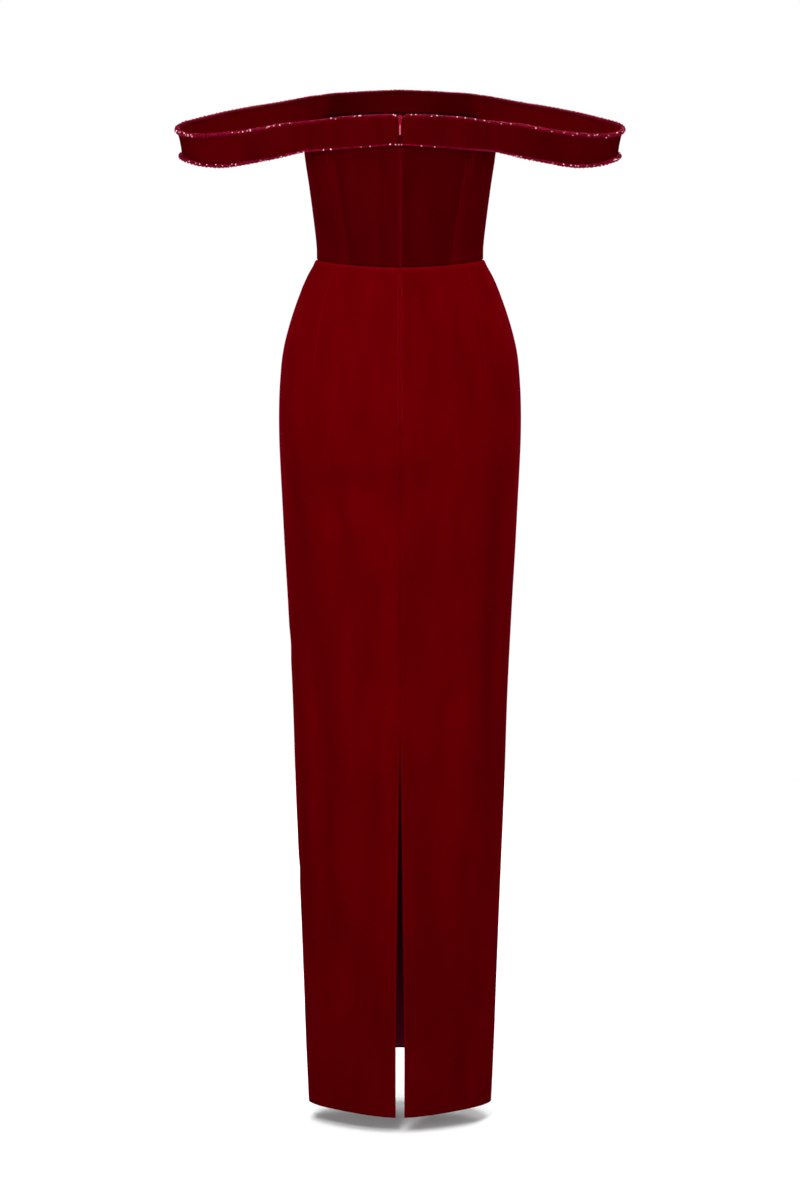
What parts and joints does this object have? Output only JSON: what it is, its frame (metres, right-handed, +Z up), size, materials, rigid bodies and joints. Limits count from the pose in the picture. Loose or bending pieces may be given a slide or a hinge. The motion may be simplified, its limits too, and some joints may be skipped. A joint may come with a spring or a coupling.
{
  "type": "bustier gown",
  "caption": "Floor-length velvet column gown with a seamed bodice, an off-the-shoulder band edged in beads, a back zip and a back slit, filled out as worn.",
  "frame": {"origin": "middle of the waist, where the wearer holds the gown up", "axes": "+Z up, +X the wearer's left, -Y the way the front faces; the zip and slit are on the +Y side"},
  "size_m": [0.6348, 0.2409, 1.4865],
  "materials": {
    "velvet": "deep red velvet of the skirt, short upright pile with a soft bright rim",
    "bodice_velvet": "the same red velvet, a shade darker where it is stretched and boned",
    "band_velvet": "red velvet doubled over, pile outwards on both faces",
    "lining_satin": "dark burgundy satin with a soft sheen",
    "glass_beads": "small crimson glass beads whipped round the edge, with bright pale glints",
    "zip_tape": "plum-red woven tape and coil of a concealed zip",
    "zip_metal": "enamelled wine-red metal"
  },
  "bodies": {
    "gown": {"bodice_front_centre": "bodice_velvet", "bodice_front_side_left": "bodice_velvet", "bodice_front_side_right": "bodice_velvet", "bodice_back_side_left": "bodice_velvet", "bodice_back_side_right": "bodice_velvet", "bodice_back_centre_left": "bodice_velvet", "bodice_back_centre_right": "bodice_velvet", "skirt_front": "velvet", "skirt_back_left": "velvet", "skirt_back_right": "velvet", "skirt_lining_front": "lining_satin", "shoulder_band": "band_velvet", "bead_trim_upper": "glass_beads", "bead_trim_lower": "glass_beads", "zip_tape": "zip_tape", "zip_slider": "zip_metal"},
    "zip_pull_tab": {"zip_pull": "zip_metal"}
  },
  "joints": [
    {"name": "pull_tab_swing", "type": "hinge", "parent": "gown", "child": "zip_pull_tab", "pos_m": [0, 0.10433, 0.1975], "axis": [1, 0, 0], "range_deg": [-5, 140]}
  ]
}
